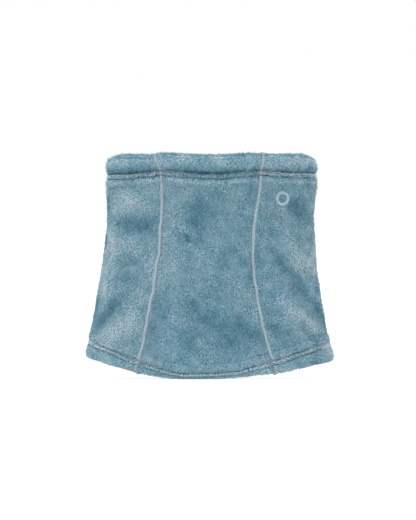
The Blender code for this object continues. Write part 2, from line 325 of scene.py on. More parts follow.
# Dents and soft folds of each face, in millimetres: both ends of the fold, its width, how far it
# stands out, and how much lighter the pile is painted there. That tone is painted shade in the dents
# and painted light on the swells, over the brushed nap.
FOLDS = {
    "front": (
        (-94, 171, -68, 168, 10, -2.8, -0.23), (-100, 192, -76, 196, 10, 1.6, 0.16),
        (-100, 150, -84, 148, 10, 1.4, 0.14), (-104, 84, -122, 56, 7, -2.6, -0.30),
        (-112, 46, -86, 64, 13, 2.2, 0.24), (-62, 44, -66, 33, 4, -1.6, -0.15),
        (-104, 142, -115, 96, 9, 0.6, 0.17), (-26, 158, -24, 153, 3, -1.4, -0.34),
        (-18, 186, -8, 158, 12, -1.2, -0.15), (-40, 120, -30, 96, 14, 1.2, 0.08),
        (32, 62, 48, 50, 9, -1.6, -0.22), (-16, 76, 26, 46, 14, -0.9, -0.20),
        (-26, 50, -20, 42, 8, -0.6, -0.16), (93, 192, 107, 178, 9, -2.4, -0.30),
        (82, 150, 101, 127, 8, 1.4, 0.15), (77, 132, 91, 114, 7, -1.4, -0.13),
        (95, 104, 118, 75, 7, -1.8, -0.20), (78, 88, 95, 73, 6, 1.8, 0.20),
        (96, 72, 118, 56, 5, 2.0, 0.15), (74, 56, 84, 46, 9, -1.2, -0.15),
        (110, 45, 134, 46, 6, -0.5, -0.16), (12, 200, 38, 170, 14, 0.6, -0.06),
        (-24, 226, 30, 227, 5, -0.4, -0.18), (50, 234, 104, 236, 8, 0.3, 0.14),
        (-94, 230, -74, 229, 6, -0.2, -0.12),
    ),
    "back": (
        (88, 176, 66, 168, 10, -3.2, -0.32), (96, 196, 70, 192, 9, 1.5, 0.14),
        (-70, 120, -112, 66, 8, -3.2, -0.30), (-60, 100, -104, 46, 9, 2.0, 0.20),
        (-96, 184, -84, 158, 8, -2.4, -0.26), (104, 90, 120, 54, 8, -2.8, -0.30),
        (84, 66, 108, 40, 12, 2.0, 0.22), (14, 168, 4, 140, 10, -1.2, -0.16),
        (-30, 70, -8, 48, 11, -1.6, -0.20), (22, 62, 40, 36, 12, 1.4, 0.16),
    ),
    "left": (
        (-4, 150, 20, 96, 9, -2.6, -0.26), (-20, 158, -4, 104, 9, 1.4, 0.14),
        (-8, 78, 14, 40, 9, -1.8, -0.18), (40, 140, 34, 84, 10, 1.8, 0.18),
    ),
    "right": (
        (30, 166, 4, 112, 9, -2.6, -0.26), (12, 176, -18, 118, 10, 1.8, 0.18),
        (-20, 78, -4, 56, 7, -1.6, -0.13),
    ),
}
FOLD_FACES = {"front": (0, -1.0, 1), "back": (0, 1.0, 1), "left": (1, -1.0, 0), "right": (1, 1.0, 0)}
SIDE_FADE = 0.030
LUMPS = ((0.0007, 0.048, 11, 1.0), (0.0007, 0.021, 12, 1.0))
FOOT_FADE = 0.014
EDGE_CALM = 0.75
EDGE_CALM_START = 0.90
COLLAR_TUCK = 0.0010
COLLAR_TUCK_START = 0.215
COLLAR_TUCK_REACH = 0.008
COLLAR_CALM = 0.6
COLLAR_CALM_START = 0.205
COLLAR_CALM_REACH = 0.02
RING_CALM = 0.9
RING_CALM_RADIUS = 0.017

RING_ACROSS = 0.0800
RING_HEIGHT = 0.1980


def fold_shares(points):
    """For each fold, how far it stands out, its painted light and shade, and how strongly it is felt
    at each point.
    """
    for face, entry in ((face, entry) for face in FOLDS for entry in FOLDS[face]):
        across, sign, facing = FOLD_FACES[face]
        x, z, to_x, to_z, width, out, tone = entry
        start, reach = np.array((x, z)) * MM, np.array((to_x - x, to_z - z)) * MM
        here = np.stack((points[..., across], points[..., 2]), axis=-1) - start
        share = np.clip(here @ reach / (reach @ reach), 0.0, 1.0)
        gap = np.linalg.norm(here - share[..., None] * reach, axis=-1)
        on_face = smooth(points[..., facing] * sign / SIDE_FADE)
        yield out * MM, tone, bell(gap, width * MM) * on_face


def relief(points):
    """How far the cloth stands out from the plain outline."""
    out = sum(fold_out * share for fold_out, _, share in fold_shares(points))
    out = out + mixed_waves(points, LUMPS)
    height = points[..., 2]
    side = np.abs(points[..., 0]) / half_sizes(height)[0]
    edge = smooth((side - EDGE_CALM_START) / (1.0 - EDGE_CALM_START))
    from_ring = np.hypot(points[..., 0] - RING_ACROSS, height - RING_HEIGHT)
    by_ring = bell(from_ring, RING_CALM_RADIUS) * (points[..., 1] < 0.0)
    out = out * (1.0 - EDGE_CALM * edge) * (1.0 - RING_CALM * by_ring)
    calm = COLLAR_CALM * smooth((height - COLLAR_CALM_START) / COLLAR_CALM_REACH)
    out = out * smooth(height / FOOT_FADE) * (1.0 - calm)
    return out - COLLAR_TUCK * edge * smooth((height - COLLAR_TUCK_START) / COLLAR_TUCK_REACH)


HEM_PUFF = {SKIRT: 0.0020, COLLAR: 0.0030}
WELT_PUFF = 0.0016
BELOW_PUFF = 0.0014
BELOW_REACH = 0.0080
GROOVE = 0.0024
GROOVE_WIDTH = 0.0012
SIDE_CALM = {SKIRT: 0.35, COLLAR: 0.60}
SIDE_CALM_START = 0.90
HUMP_FULLNESS = 0.7


def hump(value, start, end):
    """A rounded swell between two places."""
    share = np.clip((value - start) / (end - start), 0.0, 1.0)
    return np.sin(math.pi * share) ** HUMP_FULLNESS


def hem_swell(angle, zone, along, depth):
    """Swell of the outer layer: a puffy fold, a welt between the stitches, and grooves."""
    side = smooth((np.abs(np.sin(angle)) - SIDE_CALM_START) / (1.0 - SIDE_CALM_START))
    total = 0.0
    for code, puff in HEM_PUFF.items():
        near, far = sorted(NEEDLES[code])
        swell = puff * hump(along, SKIN_RADIUS, near) + WELT_PUFF * hump(along, near, far)
        swell = swell + BELOW_PUFF * hump(along, far, far + BELOW_REACH)
        swell = swell - GROOVE * sum(bell(along - needle, GROOVE_WIDTH) for needle in (near, far))
        swell = swell * (1.0 - SIDE_CALM[code] * side)
        total = total + np.where((zone == code) & (depth < SKIN_RADIUS), swell, 0.0)
    return total


def hem_inset(angle, zone, along, depth):
    """How far inside the outline each row lies, with the roll of the lower hem."""
    inset, _, tilt = skirt_path(angle, along)
    return np.where(zone == SKIRT, inset + depth * np.cos(tilt), depth)


def lay(angle, rows):
    """Points of the cloth: a line of angles for each row, or one angle each."""
    rows = rows.reshape(rows.shape[0], *(1,) * (np.ndim(angle) - 1), 3)
    zone, along, depth = np.moveaxis(rows, -1, 0)
    height = row_heights(angle, rows, wavy_collar)
    height = height + hem_lift(angle) * (1.0 - smooth(height / LIFT_FADE))
    depth = depth - hem_swell(angle, zone, along, depth)
    inset = hem_inset(angle, zone, along, depth) - relief(outline(angle, height, 0.0))
    points = outline(angle, height, inset)
    points[..., 2] = np.maximum(points[..., 2], 0.0)
    return points


def at_height(angle, height, depth):
    """Points of the body's cloth at given heights."""
    return outline(angle, height, depth - relief(outline(angle, height, 0.0)))


# ---- rows of the cloth

def hem_places(zone_length, needles):
    plain = np.arange(SKIN_RADIUS, zone_length, HEM_STEP)
    return np.unique(np.concatenate((plain, needles)).round(6))


def stations():
    """The whole cloth: skirt raw edge, fold, outside, fold over the rim, collar raw edge."""
    bends = np.linspace(TURNED, OUTER, FOLD_STEPS + 1)
    skirt = hem_places(SKIRT_ZONE, NEEDLES[SKIRT])
    collar = hem_places(COLLAR_ZONE, NEEDLES[COLLAR])[::-1]
    body_length = RIM_HEIGHT - SKIRT_ZONE - COLLAR_ZONE
    body = np.linspace(0.0, 1.0, round(body_length / BODY_STEP))
    runs = (
        (SKIRT, np.arange(SKIRT_TURN, SKIN_RADIUS, -2 * HEM_STEP), TURNED),
        (SKIRT, SKIN_RADIUS, bends),
        (SKIRT, skirt[1:], OUTER),
        (BODY_ZONE, body, OUTER),
        (COLLAR, collar[:-1], OUTER),
        (COLLAR, SKIN_RADIUS, bends[::-1]),
        (COLLAR, np.arange(COLLAR_TURN, SKIN_RADIUS, -2 * HEM_STEP)[::-1], TURNED),
    )
    parts = []
    for zone, along, bend in runs:
        size = max(np.size(along), np.size(bend))
        parts.append(np.stack([np.broadcast_to(part, size) for part in (zone, along, bend)], 1))
    return np.concatenate(parts)


def rows_at(places, offset):
    """Rows of a face of the cloth: offset is measured outwards from the middle of the cloth."""
    zone, along, bend = places.T
    radius = FOLD_RADIUS + offset
    depth = SKIN_RADIUS - radius * np.cos(bend)
    return np.stack((zone, along - radius * np.sin(bend), depth), axis=1)


def seam_angle(side, face, rows):
    """Angle of a seam at each row, found in a few steps because it shifts the row."""
    shape = SEAM_SHAPES[side]
    angle = np.full(len(rows), SEAM_START_ANGLE)
    for _ in range(SEAM_TRIES):
        height = row_heights(angle, rows)
        climb = np.maximum((height - shape["height"]) / (RIM_HEIGHT - shape["height"]), 0.0)
        fall = np.maximum(1.0 - height / shape["height"], 0.0)
        span = shape["waist"] + (shape["top"] - shape["waist"]) * climb ** shape["rise"]
        span = span + (shape["base"] - shape["waist"]) * fall ** SEAM_DROOP
        if (side, face) == ("left", "front"):
            span = span + SEAM_SWING * smooth((height - SEAM_SWING_START) / SEAM_SWING_REACH)
        angle = np.arcsin(span / half_sizes(height)[0])
    if face == "back":
        angle = math.pi - angle
    return angle if side == "right" else -angle


def panel_edges(name, rows):
    """First and last seam angle of a panel at each row."""
    first, last = (seam_angle(side, face, rows) for side, face in PANEL_SEAMS[name])
    return first, np.where(last < first, last + math.tau, last)


def panel_angles(name, rows, columns):
    first, last = panel_edges(name, rows)
    margin = SEAM_GAP / 2.0 / around_speed(first, row_heights(first, rows))
    share = np.linspace(0.0, 1.0, columns + 1)
    return (first + margin)[:, None] + (last - first - 2.0 * margin)[:, None] * share


# ---- meshes

def add_to_scene(name, data):
    thing = bpy.data.objects.new(name, data)
    bpy.context.scene.collection.objects.link(thing)
    return thing


def make_object(name, points, faces, material, shade=None):
    """A mesh object from arrays of corners. faces is a list of arrays, one for each corner count."""
    mesh = bpy.data.meshes.new(name)
    points = np.asarray(points, dtype=np.float32).reshape(-1, 3)
    corners = np.concatenate([np.asarray(part, dtype=np.int32).ravel() for part in faces])
    sizes = np.concatenate([np.full(len(part), np.shape(part)[1]) for part in faces])
    mesh.vertices.add(len(points))
    mesh.vertices.foreach_set("co", points.ravel())
    mesh.loops.add(len(corners))
    mesh.loops.foreach_set("vertex_index", corners)
    mesh.polygons.add(len(sizes))
    starts = np.concatenate(((0,), np.cumsum(sizes)[:-1])).astype(np.int32)
    mesh.polygons.foreach_set("loop_start", starts)
    mesh.update(calc_edges=True)
    if shade is not None:
        layer = mesh.attributes.new("shade", "FLOAT", "POINT")
        layer.data.foreach_set("value", np.asarray(shade, dtype=np.float32).ravel())
    mesh.shade_smooth()
    mesh.materials.append(material)
    return add_to_scene(name, mesh)


def dress(piece, slot, *nodes):
    """A piece rides on the one body and may stand for CAD nodes, which are hidden. Its slot is not
    used.
    """
    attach(piece, BODY)
    if nodes:
        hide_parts(*nodes)
    return piece


def sheet_faces(rows, columns):
    """Quads of a closed sheet: a front grid, a back grid and the strips round their edges."""
    number = np.arange(rows * columns).reshape(rows, columns)
    a, b, c, d = number[:-1, :-1], number[:-1, 1:], number[1:, 1:], number[1:, :-1]
    front = np.stack((a, b, c, d), axis=-1).reshape(-1, 4)
    back = front[:, ::-1] + rows * columns
    loop = np.concatenate((number[0, :-1], number[:-1, -1], number[-1, :0:-1], number[:0:-1, 0]))
    after = np.roll(loop, -1)
    behind = rows * columns
    rim = np.stack((after, loop, loop + behind, after + behind), axis=-1)
    return [np.concatenate((front, back, rim))]


def tubes(name, paths, normals, material, across, over=None, sides=5):
    """A piece of closed tubes. paths is (tubes, points, 3); across and over are half sizes."""
    count, length, _ = paths.shape
    tangent = unit(np.gradient(paths, axis=1))
    side = unit(np.cross(tangent, np.broadcast_to(normals, paths.shape)))
    upward = np.cross(side, tangent)
    turn = np.linspace(0.0, math.tau, sides, endpoint=False)
    sizes = (np.broadcast_to(size, (count, length))[..., None, None]
             for size in (across, across if over is None else over))
    across, over = sizes
    ring = (side[:, :, None] * np.cos(turn)[:, None] * across
            + upward[:, :, None] * np.sin(turn)[:, None] * over)
    points = paths[:, :, None] + ring
    number = np.arange(count * length * sides).reshape(count, length, sides)
    following = np.roll(number, -1, axis=2)
    walls = np.stack((number[:, :-1], number[:, 1:], following[:, 1:], following[:, :-1]), axis=-1)
    faces = [walls.reshape(-1, 4), number[:, 0], number[:, -1, ::-1]]
    return make_object(name, points, faces, material)


# ---- materials

LIGHT_THREAD = (0.275, 0.362, 0.422)
FUZZ_THREAD = (0.350, 0.450, 0.512)
# Hem thread: its tone-on-tone colour painted much darker, as painted shade of the stitch grooves.
HEM_THREAD_WITH_PAINTED_SHADE = (0.004, 0.080, 0.128)
LOOPER_THREAD = (0.190, 0.340, 0.420)
RING_THREAD = (0.315, 0.435, 0.500)
PILE_RAMP = ((0.0, (0.008, 0.078, 0.128)), (0.30, (0.112, 0.295, 0.392)),
             (0.60, (0.368, 0.548, 0.622)), (1.0, (0.760, 0.820, 0.838)))


class Nodes:
    """A short way to write a node tree."""

    def __init__(self, tree):
        self.tree = tree
        tree.nodes.clear()

    def add(self, kind, inputs=(), **settings):
        node = self.tree.nodes.new(kind)
        for key, value in settings.items():
            setattr(node, key, value)
        for key, value in dict(inputs).items():
            if isinstance(value, bpy.types.NodeSocket):
                self.tree.links.new(value, node.inputs[key])
            else:
                node.inputs[key].default_value = value
        return node

    def place(self, squash=1.0):
        where = self.add("ShaderNodeTexCoord").outputs["Object"]
        inputs = {"Vector": where, "Scale": (1.0, 1.0, squash)}
        return self.add("ShaderNodeMapping", inputs).outputs[0]

    def noise(self, scale, detail=3.0, squash=1.0):
        inputs = {"Vector": self.place(squash), "Scale": scale, "Detail": detail, "Roughness": 0.55}
        return self.add("ShaderNodeTexNoise", inputs).outputs["Fac"]

    def fit(self, value, low, high, from_low=0.3, from_high=0.7):
        inputs = {"Value": value, "From Min": from_low, "From Max": from_high,
                  "To Min": low, "To Max": high}
        return self.add("ShaderNodeMapRange", inputs).outputs["Result"]

    def maths(self, operation, first, second):
        return self.add("ShaderNodeMath", {0: first, 1: second}, operation=operation).outputs[0]

    def ramp(self, value, stops):
        node = self.add("ShaderNodeValToRGB", {"Fac": value})
        elements = node.color_ramp.elements
        while len(elements) < len(stops):
            elements.new(0.5)
        for element, (position, colour) in zip(elements, stops):
            element.position = position
            element.color = (*colour, 1.0)
        return node.outputs["Color"]

    def bump(self, height, strength, distance):
        inputs = {"Height": height, "Strength": strength, "Distance": distance}
        return self.add("ShaderNodeBump", inputs).outputs["Normal"]

    def finish(self, colour, rough, specular, inputs):
        shader = self.add("ShaderNodeBsdfPrincipled", {
            "Base Color": colour, "Roughness": rough, "Specular IOR Level": specular, **inputs})
        self.add("ShaderNodeOutputMaterial", {"Surface": shader.outputs[0]})


def new_material(name):
    material = bpy.data.materials.new(name)
    material.use_nodes = True
    return material, Nodes(material.node_tree)


def pile_material():
    """Fibres: painted shade at the root, painted light at the tip, and lighter and darker where the
    nap is brushed, which is partly painted light and shade.
    """
    material, nodes = new_material("plush_pile")
    shade = nodes.add("ShaderNodeAttribute", attribute_name="shade").outputs["Fac"]
    grain = nodes.fit(nodes.noise(700.0, detail=2.0, squash=0.4), -0.05, 0.05)
    colour = nodes.ramp(nodes.maths("ADD", shade, grain), PILE_RAMP)
    rough = nodes.fit(nodes.noise(260.0), 0.86, 0.98)
    strands = nodes.noise(1800.0, detail=2.0, squash=0.3)
    nodes.finish(colour, rough, 0.25, {
        "Sheen Weight": 0.38, "Sheen Roughness": 0.40, "Sheen Tint": (0.80, 0.90, 0.95, 1.0),
        "Normal": nodes.bump(strands, 0.4, 0.0003)})
    return material


def ground_material():
    """The knitted ground under the pile, painted darker as painted shade deep in the pile, and its
    short brushed face inside the tube.
    """
    material, nodes = new_material("fleece_ground")
    shade = nodes.add("ShaderNodeAttribute", attribute_name="shade").outputs["Fac"]
    patch = nodes.noise(70.0, detail=4.0)
    fibre = nodes.noise(900.0, squash=0.5)
    mottle = nodes.maths("ADD", nodes.fit(patch, -0.10, 0.10), nodes.fit(fibre, -0.16, 0.16))
    colour = nodes.ramp(nodes.maths("ADD", shade, mottle), PILE_RAMP)
    nodes.finish(colour, nodes.fit(fibre, 0.88, 1.0), 0.2, {
        "Sheen Weight": 0.08, "Sheen Roughness": 0.5, "Normal": nodes.bump(fibre, 0.7, 0.0007)})
    return material


def thread_material(name, colour, roughness, spread):
    """Sewing thread: fine plies, a soft gloss and slightly uneven dye."""
    material, nodes = new_material(name)
    ply = nodes.noise(2600.0, detail=1.0)
    dye = nodes.noise(120.0)
    mixed = nodes.maths("ADD", nodes.fit(dye, 0.35, 0.65), nodes.fit(ply, -0.2, 0.2))
    dark, light = (tuple(part * change for part in colour) for change in (1.0 - spread, 1.0 + spread))
    shown = nodes.ramp(mixed, ((0.15, dark), (0.85, light)))
    rough = nodes.fit(ply, roughness - 0.08, roughness + 0.08)
    nodes.finish(shown, rough, 0.12, {"Normal": nodes.bump(ply, 0.35, 0.0002)})
    return material


def label_material():
    """White woven tape: a fine over-and-under weave."""
    material, nodes = new_material("woven_tape")
    yarns = []
    for direction, scale in (("X", 420.0), ("Z", 300.0)):
        inputs = {"Vector": nodes.place(), "Scale": scale, "Distortion": 0.6}
        wave = nodes.add("ShaderNodeTexWave", inputs, bands_direction=direction)
        yarns.append(wave.outputs["Fac"])
    weave = nodes.maths("MULTIPLY", *yarns)
    colour = nodes.ramp(weave, ((0.0, (0.66, 0.69, 0.71)), (1.0, (0.86, 0.88, 0.89))))
    rough = nodes.fit(weave, 0.42, 0.60, 0.0, 1.0)
    nodes.finish(colour, rough, 0.5, {"Normal": nodes.bump(weave, 0.5, 0.0002)})
    return material


# ---- the nap and its tufts

TUFT_AREA = 1.00e-6
TUFT_LENGTH = (0.0014, 0.0028)
TUFT_HEIGHT = (0.0012, 0.0019)
TUFT_HALF_WIDTH = (0.00032, 0.00052)
TUFT_ROOT_DEPTH = 0.0004
TUFT_TIP_CURL = 0.0004
TUFT_BEND = {"height": 0.62, "reach": 0.34}
TUFT_TIP_HEIGHT = 0.92
# Painted shade at each tuft's root and painted light at its tip, added to its tone.
TUFT_ROOT_SHADE_TIP_LIGHT = (-0.20, 0.0, 0.0, 0.07)
NAP_PATCHES = ((0.035, 0.034, 21, 0.55), (0.035, 0.013, 22, 1.0), (0.025, 0.0050, 23, 1.0))
NAP_TURNS = ((0.6, 0.030, 31, 1.0), (0.4, 0.009, 32, 1.0))
NAP_SWIRL = 0.38
NAP_SWIRL_HEM = 0.85
NAP_JITTER = 0.45
SEAM_CLEAR = 0.0003
SEAM_SHORT = 0.0034
SEAM_FUZZ_TONE = 0.15
SEAM_FUZZ_WIDTH = 0.0027
NEEDLE_CLEAR = 0.0008
NEEDLE_COVER = 0.3
SHORTEST_TUFT = 0.0012
CUT_TUFT_HEIGHT = 0.55
SEAM_TUFT_HEIGHT = 0.70
SEAM_VALLEY = 0.0004
SEAM_VALLEY_WIDTH = 0.0028

# How much lighter the pile is painted by the stitch lines: painted shade above the collar's stitches
# and in the grooves, and painted light on the welt, below it and on the collar's top.
# The ground is painted darker than the pile as painted shade deep in the pile, and darker still in the
# stitch grooves.
GROUND_PAINTED_SHADE = 0.30
GROUND_LINE_PAINTED_SHADE = 0.32
GROUND_TURNED_LIFT = 0.10
PLAIN_SHADE = 0.50
COLLAR_PAINTED_SHADE = 0.46
COLLAR_PAINTED_SHADE_REACH = 0.0042
COLLAR_TOP_PAINTED_LIGHT = 0.26
LINE_PAINTED_SHADE = 0.16
LINE_PAINTED_SHADE_WIDTH = 0.0009
WELT_PAINTED_LIGHT = 0.38
WELT_PAINTED_LIGHT_AT = 0.0014
WELT_PAINTED_LIGHT_WIDTH = 0.0012
BELOW_PAINTED_LIGHT = 0.14
SKIRT_WELT_PAINTED_LIGHT = 0.24
SKIRT_TONE = 0.04
SKIRT_BARE_SIDE = 0.35
BARE_SPLIT = 0.12
FIRST_SEED = 40
LOWEST = 0.0001
TONE_SPREAD = 0.073
TONE_SPREAD_HEM = 0.086
GUARD_SHARE = 0.13
GUARD_RISE = 2.0
GUARD_LEAN = 0.6
GUARD_SLIMNESS = 0.6
GUARD_AWAY = 0.0030


def nap_tone_and_painted_fold_shade(points):
    """How light the pile is painted, about 0.5: painted light and shade of the folds, large patches
    and fine mottling.
    """
    tone = sum(painted_fold_shade * share for _, painted_fold_shade, share in fold_shares(points))
    return 0.5 + tone + mixed_waves(points, NAP_PATCHES)


# Painted shade along the stitch lines.
def painted_line_shade(along, needles):
    return LINE_PAINTED_SHADE * sum(bell(along - needle, LINE_PAINTED_SHADE_WIDTH) for needle in needles)


def hem_painted_light_and_shade(zone, along):
    """How much lighter the pile is painted near the stitch lines of the outer layer: painted shade
    above and in the grooves, painted light on the welts and the collar's top.
    """
    near, far = sorted(NEEDLES[COLLAR])
    painted_collar_shade = COLLAR_PAINTED_SHADE * np.exp(-np.abs(near - along) / COLLAR_PAINTED_SHADE_REACH) * (along < near)
    welt = WELT_PAINTED_LIGHT * bell(along - near - WELT_PAINTED_LIGHT_AT, WELT_PAINTED_LIGHT_WIDTH)
    below = BELOW_PAINTED_LIGHT * hump(along, far, far + BELOW_REACH)
    top = COLLAR_TOP_PAINTED_LIGHT * (1.0 - smooth(along / near))
    collar = top + welt + below - painted_collar_shade - painted_line_shade(along, NEEDLES[COLLAR])
    skirt = SKIRT_TONE + SKIRT_WELT_PAINTED_LIGHT * hump(along, *NEEDLES[SKIRT])
    skirt = skirt - painted_line_shade(along, NEEDLES[SKIRT])
    return np.select([zone == COLLAR, zone == SKIRT], [collar, skirt], 0.0)


def pick(field, row, column, up, over):
    """Values between grid points."""
    low = field[row, column] * (1.0 - over) + field[row, column + 1] * over
    high = field[row + 1, column] * (1.0 - over) + field[row + 1, column + 1] * over
    return low * (1.0 - up) + high * up


def bare_bands(places, runs):
    """Stretches along the cloth without pile: the stitch lines and the looped threads inside."""
    zone, along, bend = places.T
    needles, loopers = [], []
    for code in HEMS:
        outer = (zone == code) & (bend == OUTER)
        for needle in NEEDLES[code]:
            needles.append(runs[outer][np.argmin(np.abs(along[outer] - needle))])
        low, high = LOOPER_BANDS[code]
        inside = (zone == code) & (bend == TURNED) & (along > low) & (along < high)
        loopers.append((runs[inside].min(), runs[inside].max()))
    return needles, loopers


def tuft_mesh(root, mid, tip, side, half):
    """Closed slivers of fibre: a root, a left and a right side at the bend, and a tip."""
    points = np.stack((root, mid - half * side, mid + half * side, tip), axis=1)
    shape = np.array(((0, 2, 1), (3, 1, 2), (0, 1, 3), (0, 3, 2)))
    faces = (np.arange(len(root)) * 4)[:, None, None] + shape
    return points, [faces.reshape(-1, 3)]


Roots = namedtuple("Roots", "point outward down zone along bend run to_seam")


def scatter(grid, places, rng):
    """Where the tufts of a panel stand, evenly over its area, and how the cloth lies there."""
    along_cloth, around = np.gradient(grid, axis=0), np.gradient(grid, axis=1)
    normal = np.cross(around, along_cloth)
    area = np.linalg.norm(normal, axis=-1)[:-1, :-1]
    count = np.floor(area / TUFT_AREA + rng.random(area.shape)).astype(int)
    row, column = np.divmod(np.repeat(np.arange(area.size), count.ravel()), area.shape[1])
    up, over = rng.random((2, len(row), 1))
    where = (row, column, up, over)
    run = blend_rows(runs_along(grid[:, grid.shape[1] // 2])[:, None], row + up[:, 0])[:, 0]
    from_left = column + over[:, 0]
    to_edge = np.minimum(from_left, grid.shape[1] - 1 - from_left)
    to_seam = to_edge * np.linalg.norm(pick(around, *where), axis=1)
    zone, along, bend = places[row].T
    next_zone, next_along, _ = places[row + 1].T
    along = np.where(zone == next_zone, along + (next_along - along) * up[:, 0], along)
    outward, down = unit(pick(unit(normal), *where)), -unit(pick(along_cloth, *where))
    return Roots(pick(grid, *where), outward, down, zone, along, bend, run, to_seam)


def tuft_sizes(roots, needles, rng):
    """Length, height and slimness of each tuft, and which of them stand clear of the stitches."""
    count = len(roots.run)
    keep = roots.to_seam > SEAM_CLEAR
    length, height = rng.uniform(*TUFT_LENGTH, count), rng.uniform(*TUFT_HEIGHT, count)
    guard = rng.random(count) < GUARD_SHARE
    for needle in needles:
        guard &= np.abs(roots.run - needle - GUARD_AWAY / 2.0) > GUARD_AWAY
    height *= np.where(guard, GUARD_RISE, 1.0)
    length *= np.where(guard, GUARD_LEAN, 1.0)
    bare = np.where(roots.point[:, 2] < BARE_SPLIT, SKIRT_BARE_SIDE, 1.0)
    middle = middle_hump(np.arctan2(roots.point[:, 0], -roots.point[:, 1]))
    for needle in needles:
        ahead = roots.run - needle
        keep &= np.abs(ahead) > NEEDLE_CLEAR * np.maximum(bare, middle)
        room = np.maximum(ahead - NEEDLE_COVER * NEEDLE_CLEAR, SHORTEST_TUFT)
        room = np.where(ahead > 0.0, room, 1.0)
        cut = CUT_TUFT_HEIGHT + (1.0 - CUT_TUFT_HEIGHT) * room / length
        height *= np.where(room < length, cut, 1.0)
        length = np.minimum(length, room)
    by_seam = smooth((roots.to_seam - SEAM_CLEAR) / (SEAM_SHORT - SEAM_CLEAR))
    height *= SEAM_TUFT_HEIGHT + (1.0 - SEAM_TUFT_HEIGHT) * by_seam
    return length[:, None], height[:, None], np.where(guard, GUARD_SLIMNESS, 1.0)[:, None], keep


def grow_pile(name, grid, places, material, seed):
    """Tufts over the pile face of a panel, leaning the way the nap is brushed."""
    rng = np.random.default_rng(seed)
    roots = scatter(grid, places, rng)
    needles, loopers = bare_bands(places, runs_along(grid[:, grid.shape[1] // 2]))
    length, height, slimness, keep = tuft_sizes(roots, needles, rng)
    for low, high in loopers:
        keep &= (roots.run < low) | (roots.run > high)
    keep &= np.abs(np.linalg.norm(roots.point - ring_centre(), axis=1) - RING_RADIUS) > RING_CLEAR

    in_hem = np.select([roots.zone == code for code in HEMS],
                       [roots.along < min(NEEDLES[code]) for code in HEMS], False)
    turn = np.where(in_hem, NAP_SWIRL_HEM, NAP_SWIRL) * mixed_waves(roots.point, NAP_TURNS)
    turn = (turn + NAP_JITTER * rng.normal(size=len(turn)))[:, None]
    lean = roots.down * np.cos(turn) + np.cross(roots.down, roots.outward) * np.sin(turn)
    curl = TUFT_TIP_CURL * rng.normal(size=lean.shape)
    half = rng.uniform(*TUFT_HALF_WIDTH, (len(lean), 1)) * slimness
    rise, reach = roots.outward * height, lean * length
    root = roots.point - roots.outward * TUFT_ROOT_DEPTH
    mid = roots.point + rise * TUFT_BEND["height"] + reach * TUFT_BEND["reach"]
    tip = roots.point + rise * TUFT_TIP_HEIGHT + reach + curl
    parts = (root, mid, tip, np.cross(lean, roots.outward), half)

    spread = np.where(in_hem, TONE_SPREAD_HEM, TONE_SPREAD)
    # Each tuft's tone holds the painted light and shade of the folds.
    tone = nap_tone_and_painted_fold_shade(roots.point) + spread * rng.normal(size=len(spread))
    # Painted light and shade by the stitch lines of the outer layer.
    tone += np.where(roots.bend == OUTER, hem_painted_light_and_shade(roots.zone, roots.along), 0.0)
    tone += SEAM_FUZZ_TONE * bell(roots.to_seam, SEAM_FUZZ_WIDTH)
    outer = roots.bend < math.pi / 2.0
    pieces = []
    for part_name, chosen in ((name + "_pile", keep & outer), (name + "_inner_pile", keep & ~outer)):
        points, faces = tuft_mesh(*(part[chosen] for part in parts))
        points[..., 2] = np.maximum(points[..., 2], LOWEST)
        shade = tone[chosen, None] + TUFT_ROOT_SHADE_TIP_LIGHT
        pieces.append(make_object(part_name, points, faces, material, shade))
    return pieces


# ---- the pieces

RING_RADIUS = 0.0065
RING_HALF_WIDTH = 0.0017
RING_HALF_HEIGHT = 0.0012
RING_LIFT = 0.0009 - PILE_ROOM
RING_POINTS = 72
RING_STITCHES = 84
RING_CLEAR = 0.0020
RING_SQUEEZE = 0.93
SATIN_SWEEP = 1.35
SATIN_REACH = 1.04
SATIN_RISE = 0.0013
SATIN_SLANT = 0.05
SATIN_RADIUS = 0.00030


def ring_centre():
    across = RING_ACROSS - np.interp(RING_HEIGHT, *LEAN)
    middle = np.arcsin(across / half_sizes(RING_HEIGHT)[0])
    return at_height(np.array([middle]), np.array([RING_HEIGHT]), 0.0)[0]


def flat_size(name, places):
    """Width, length and area that a panel is cut to, before its dents and puffs."""
    rows = rows_at(places, 0.0)
    angle = panel_angles(name, rows, COLUMNS[name])
    zone, along, depth = rows.T[..., None]
    height = np.where(zone == SKIRT, row_heights(angle, rows[:, None]),
                      row_heights(angle[:, 0], rows)[:, None])
    grid = outline(angle, height, hem_inset(angle, zone, along, depth))
    around = np.linalg.norm(np.diff(grid, axis=1), axis=-1)
    lengthwise = np.linalg.norm(np.diff(grid, axis=0), axis=-1)
    width, length = around.sum(axis=1).max(), lengthwise.sum(axis=0).max()
    return width, length, min((around[:-1] * lengthwise[:, :-1]).sum(), width * length)


